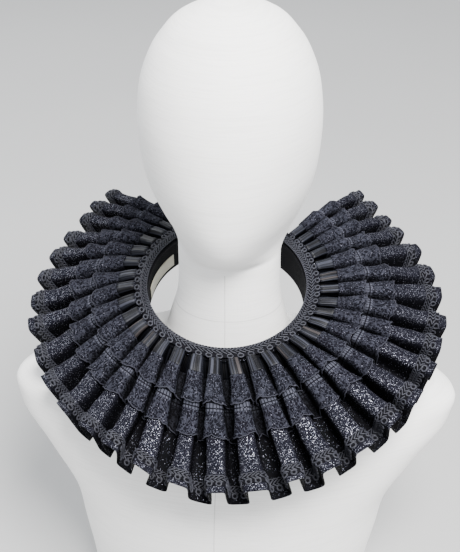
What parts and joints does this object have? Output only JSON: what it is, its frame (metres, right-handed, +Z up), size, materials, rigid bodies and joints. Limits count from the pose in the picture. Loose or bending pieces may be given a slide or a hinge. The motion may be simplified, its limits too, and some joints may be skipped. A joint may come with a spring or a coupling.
{
  "type": "ruff collar on a display form",
  "caption": "Pleated black ruff collar, open at the back, with satin, lace tiers and gimp braid on a standing neck band, resting on a limbless egg-head display form.",
  "frame": {"origin": "centre of the display form's base, on the neck's axis, at the surface it stands on", "axes": "+Z up, -Y to the front of the collar and form, +X to the viewer's right"},
  "size_m": [0.4404, 0.3613, 0.645],
  "materials": {
    "glitter_cloth": "black knit with silver glitter",
    "satin": "charcoal satin ribbon with a soft sheen",
    "lace": "matte charcoal corded lace",
    "braid": "charcoal scroll gimp braid",
    "band_cloth": "matte black cotton",
    "label_cloth": "plain cream woven label",
    "linen": "off-white linen over a hard form"
  },
  "bodies": {
    "root": {"ruffle": "glitter_cloth", "satin_strip": "satin", "lace_upper": "lace", "lace_lower": "lace", "edge_braid": "braid", "neck_braid": "braid", "neck_band": "band_cloth", "label": "label_cloth", "display_form": "linen"}
  },
  "joints": []
}
